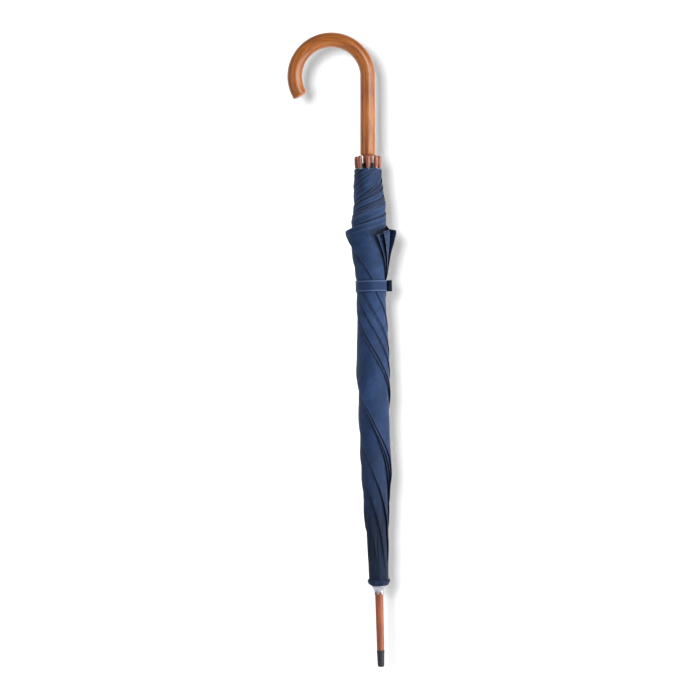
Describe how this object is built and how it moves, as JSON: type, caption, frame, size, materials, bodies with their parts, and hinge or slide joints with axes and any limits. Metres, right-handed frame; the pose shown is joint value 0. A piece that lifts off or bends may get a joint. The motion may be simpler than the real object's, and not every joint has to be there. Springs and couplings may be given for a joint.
{
  "type": "stick umbrella",
  "caption": "Full-length stick umbrella, closed and furled: hooked wooden handle, wooden shaft and ferrule, folding steel ribs, fabric canopy held by a strap.",
  "frame": {"origin": "centre of the small flat on the end of the ferrule tip", "axes": "+Z along the shaft from the ferrule tip to the handle; the crook bends over towards -X"},
  "size_m": [0.1423, 0.0646, 0.8899],
  "materials": {
    "handle_wood": "varnished, glossy, orange-brown",
    "shaft_wood": "stained, satin, reddish brown",
    "tip_wood": "stained, glossy, reddish brown",
    "canopy_fabric": "plain woven polyester, navy",
    "frame_steel": "plated steel",
    "cap_metal": "plated, satin",
    "tip_plastic": "moulded, satin, dark grey"
  },
  "bodies": {
    "shaft": {"handle": "handle_wood", "shaft": "shaft_wood", "ferrule_tip": "tip_plastic", "crown_cap": "cap_metal", "rosette": "canopy_fabric", "crown": "tip_plastic", "crown_wire": "frame_steel", "crown_pin": "frame_steel", "stop_pin": "frame_steel"},
    "runner": {"runner": "frame_steel"},
    "bottom_catch": {"bottom_catch": "frame_steel"},
    "top_catch": {"top_catch": "frame_steel"},
    "rib_1": {"rib_1": "frame_steel", "rib_tip_1": "tip_wood", "joint_clip_1": "frame_steel", "strap_band": "canopy_fabric", "snap_stud": "cap_metal"},
    "stretcher_1": {"stretcher_1": "frame_steel"},
    "panel_1": {"canopy_panel_1": "canopy_fabric"},
    "rib_2": {"rib_2": "frame_steel", "rib_tip_2": "tip_wood", "joint_clip_2": "frame_steel"},
    "stretcher_2": {"stretcher_2": "frame_steel"},
    "panel_2": {"canopy_panel_2": "canopy_fabric"},
    "rib_3": {"rib_3": "frame_steel", "rib_tip_3": "tip_wood", "joint_clip_3": "frame_steel"},
    "stretcher_3": {"stretcher_3": "frame_steel"},
    "panel_3": {"canopy_panel_3": "canopy_fabric"},
    "rib_4": {"rib_4": "frame_steel", "rib_tip_4": "tip_wood", "joint_clip_4": "frame_steel"},
    "stretcher_4": {"stretcher_4": "frame_steel"},
    "panel_4": {"canopy_panel_4": "canopy_fabric"},
    "rib_5": {"rib_5": "frame_steel", "rib_tip_5": "tip_wood", "joint_clip_5": "frame_steel"},
    "stretcher_5": {"stretcher_5": "frame_steel"},
    "panel_5": {"canopy_panel_5": "canopy_fabric"},
    "rib_6": {"rib_6": "frame_steel", "rib_tip_6": "tip_wood", "joint_clip_6": "frame_steel"},
    "stretcher_6": {"stretcher_6": "frame_steel"},
    "panel_6": {"canopy_panel_6": "canopy_fabric"},
    "rib_7": {"rib_7": "frame_steel", "rib_tip_7": "tip_wood", "joint_clip_7": "frame_steel"},
    "stretcher_7": {"stretcher_7": "frame_steel"},
    "panel_7": {"canopy_panel_7": "canopy_fabric"},
    "rib_8": {"rib_8": "frame_steel", "rib_tip_8": "tip_wood", "joint_clip_8": "frame_steel"},
    "stretcher_8": {"stretcher_8": "frame_steel"},
    "panel_8": {"canopy_panel_8": "canopy_fabric"},
    "strap_tab": {"strap_tab": "canopy_fabric", "snap_cap": "cap_metal"}
  },
  "joints": [
    {"name": "runner_slide", "type": "slide", "parent": "shaft", "child": "runner", "axis": [0, 0, -1], "range_m": [0, 0.30808], "deforming": ["strap_band"]},
    {"name": "rib_hinge_1", "type": "hinge", "parent": "shaft", "child": "rib_1", "pos_m": [0.0105, 0, 0.125], "axis": [0, 1, 0], "range_deg": [0, 65.62]},
    {"name": "stretcher_hinge_1", "type": "hinge", "parent": "rib_1", "child": "stretcher_1", "pos_m": [0.00938, 0, 0.39002], "axis": [0, 1, 0], "range_deg": [-131.23, 0]},
    {"name": "panel_spread_1", "type": "hinge", "parent": "rib_1", "child": "panel_1", "pos_m": [0.01289, 0, 0.11237], "axis": [-0.9861, -0.1661, 0.0088], "range_deg": [0, 41.01], "deforming": ["canopy_panel_1"]},
    {"name": "rib_hinge_2", "type": "hinge", "parent": "shaft", "child": "rib_2", "pos_m": [0.00743, 0.00743, 0.125], "axis": [-0.7071, 0.7071, 0], "range_deg": [0, 65.62]},
    {"name": "stretcher_hinge_2", "type": "hinge", "parent": "rib_2", "child": "stretcher_2", "pos_m": [0.00663, 0.00663, 0.39002], "axis": [-0.7071, 0.7071, 0], "range_deg": [-131.23, 0]},
    {"name": "panel_spread_2", "type": "hinge", "parent": "rib_2", "child": "panel_2", "pos_m": [0.00911, 0.00911, 0.11237], "axis": [-0.5798, -0.8147, 0.0088], "range_deg": [0, 41.01], "deforming": ["canopy_panel_2"]},
    {"name": "rib_hinge_3", "type": "hinge", "parent": "shaft", "child": "rib_3", "pos_m": [0, 0.0105, 0.125], "axis": [-1, 0, 0], "range_deg": [0, 65.62]},
    {"name": "stretcher_hinge_3", "type": "hinge", "parent": "rib_3", "child": "stretcher_3", "pos_m": [0, 0.00938, 0.39002], "axis": [-1, 0, 0], "range_deg": [-131.23, 0]},
    {"name": "panel_spread_3", "type": "hinge", "parent": "rib_3", "child": "panel_3", "pos_m": [0, 0.01289, 0.11237], "axis": [0.1661, -0.9861, 0.0088], "range_deg": [0, 41.01], "deforming": ["canopy_panel_3"]},
    {"name": "rib_hinge_4", "type": "hinge", "parent": "shaft", "child": "rib_4", "pos_m": [-0.00743, 0.00743, 0.125], "axis": [-0.7071, -0.7071, 0], "range_deg": [0, 65.62]},
    {"name": "stretcher_hinge_4", "type": "hinge", "parent": "rib_4", "child": "stretcher_4", "pos_m": [-0.00663, 0.00663, 0.39002], "axis": [-0.7071, -0.7071, 0], "range_deg": [-131.23, 0]},
    {"name": "panel_spread_4", "type": "hinge", "parent": "rib_4", "child": "panel_4", "pos_m": [-0.00911, 0.00911, 0.11237], "axis": [0.8147, -0.5798, 0.0088], "range_deg": [0, 41.01], "deforming": ["canopy_panel_4"]},
    {"name": "rib_hinge_5", "type": "hinge", "parent": "shaft", "child": "rib_5", "pos_m": [-0.0105, 0, 0.125], "axis": [0, -1, 0], "range_deg": [0, 65.62]},
    {"name": "stretcher_hinge_5", "type": "hinge", "parent": "rib_5", "child": "stretcher_5", "pos_m": [-0.00938, 0, 0.39002], "axis": [0, -1, 0], "range_deg": [-131.23, 0]},
    {"name": "panel_spread_5", "type": "hinge", "parent": "rib_5", "child": "panel_5", "pos_m": [-0.01289, 0, 0.11237], "axis": [0.9861, 0.1661, 0.0088], "range_deg": [0, 41.01], "deforming": ["canopy_panel_5"]},
    {"name": "rib_hinge_6", "type": "hinge", "parent": "shaft", "child": "rib_6", "pos_m": [-0.00743, -0.00743, 0.125], "axis": [0.7071, -0.7071, 0], "range_deg": [0, 65.62]},
    {"name": "stretcher_hinge_6", "type": "hinge", "parent": "rib_6", "child": "stretcher_6", "pos_m": [-0.00663, -0.00663, 0.39002], "axis": [0.7071, -0.7071, 0], "range_deg": [-131.23, 0]},
    {"name": "panel_spread_6", "type": "hinge", "parent": "rib_6", "child": "panel_6", "pos_m": [-0.00911, -0.00911, 0.11237], "axis": [0.5798, 0.8147, 0.0088], "range_deg": [0, 41.01], "deforming": ["canopy_panel_6"]},
    {"name": "rib_hinge_7", "type": "hinge", "parent": "shaft", "child": "rib_7", "pos_m": [0, -0.0105, 0.125], "axis": [1, 0, 0], "range_deg": [0, 65.62]},
    {"name": "stretcher_hinge_7", "type": "hinge", "parent": "rib_7", "child": "stretcher_7", "pos_m": [0, -0.00938, 0.39002], "axis": [1, 0, 0], "range_deg": [-131.23, 0]},
    {"name": "panel_spread_7", "type": "hinge", "parent": "rib_7", "child": "panel_7", "pos_m": [0, -0.01289, 0.11237], "axis": [-0.1661, 0.9861, 0.0088], "range_deg": [0, 41.01], "deforming": ["canopy_panel_7"]},
    {"name": "rib_hinge_8", "type": "hinge", "parent": "shaft", "child": "rib_8", "pos_m": [0.00743, -0.00743, 0.125], "axis": [0.7071, 0.7071, 0], "range_deg": [0, 65.62]},
    {"name": "stretcher_hinge_8", "type": "hinge", "parent": "rib_8", "child": "stretcher_8", "pos_m": [0.00663, -0.00663, 0.39002], "axis": [0.7071, 0.7071, 0], "range_deg": [-131.23, 0]},
    {"name": "panel_spread_8", "type": "hinge", "parent": "rib_8", "child": "panel_8", "pos_m": [0.00911, -0.00911, 0.11237], "axis": [-0.8147, 0.5798, 0.0088], "range_deg": [0, 41.01], "deforming": ["canopy_panel_8"]},
    {"name": "bottom_catch_press", "type": "slide", "parent": "shaft", "child": "bottom_catch", "axis": [-0.9239, -0.3827, 0], "range_m": [0, 0.002], "stiffness_N_per_m": 400},
    {"name": "top_catch_press", "type": "slide", "parent": "shaft", "child": "top_catch", "axis": [-0.9239, -0.3827, 0], "range_m": [0, 0.002], "stiffness_N_per_m": 400},
    {"name": "strap_tab_peel", "type": "hinge", "parent": "rib_1", "child": "strap_tab", "pos_m": [0.01637, 0.01637, 0.533], "axis": [0, 0, 1], "range_deg": [0, 95]}
  ],
  "couplings": [
    {"joint": "rib_hinge_1", "follows": "runner_slide", "rad_per_m": 3.7099},
    {"joint": "stretcher_hinge_1", "follows": "runner_slide", "rad_per_m": -7.4198},
    {"joint": "panel_spread_1", "follows": "runner_slide", "rad_per_m": 2.3185},
    {"joint": "rib_hinge_2", "follows": "runner_slide", "rad_per_m": 3.7099},
    {"joint": "stretcher_hinge_2", "follows": "runner_slide", "rad_per_m": -7.4198},
    {"joint": "panel_spread_2", "follows": "runner_slide", "rad_per_m": 2.3185},
    {"joint": "rib_hinge_3", "follows": "runner_slide", "rad_per_m": 3.7099},
    {"joint": "stretcher_hinge_3", "follows": "runner_slide", "rad_per_m": -7.4198},
    {"joint": "panel_spread_3", "follows": "runner_slide", "rad_per_m": 2.3185},
    {"joint": "rib_hinge_4", "follows": "runner_slide", "rad_per_m": 3.7099},
    {"joint": "stretcher_hinge_4", "follows": "runner_slide", "rad_per_m": -7.4198},
    {"joint": "panel_spread_4", "follows": "runner_slide", "rad_per_m": 2.3185},
    {"joint": "rib_hinge_5", "follows": "runner_slide", "rad_per_m": 3.7099},
    {"joint": "stretcher_hinge_5", "follows": "runner_slide", "rad_per_m": -7.4198},
    {"joint": "panel_spread_5", "follows": "runner_slide", "rad_per_m": 2.3185},
    {"joint": "rib_hinge_6", "follows": "runner_slide", "rad_per_m": 3.7099},
    {"joint": "stretcher_hinge_6", "follows": "runner_slide", "rad_per_m": -7.4198},
    {"joint": "panel_spread_6", "follows": "runner_slide", "rad_per_m": 2.3185},
    {"joint": "rib_hinge_7", "follows": "runner_slide", "rad_per_m": 3.7099},
    {"joint": "stretcher_hinge_7", "follows": "runner_slide", "rad_per_m": -7.4198},
    {"joint": "panel_spread_7", "follows": "runner_slide", "rad_per_m": 2.3185},
    {"joint": "rib_hinge_8", "follows": "runner_slide", "rad_per_m": 3.7099},
    {"joint": "stretcher_hinge_8", "follows": "runner_slide", "rad_per_m": -7.4198},
    {"joint": "panel_spread_8", "follows": "runner_slide", "rad_per_m": 2.3185}
  ]
}
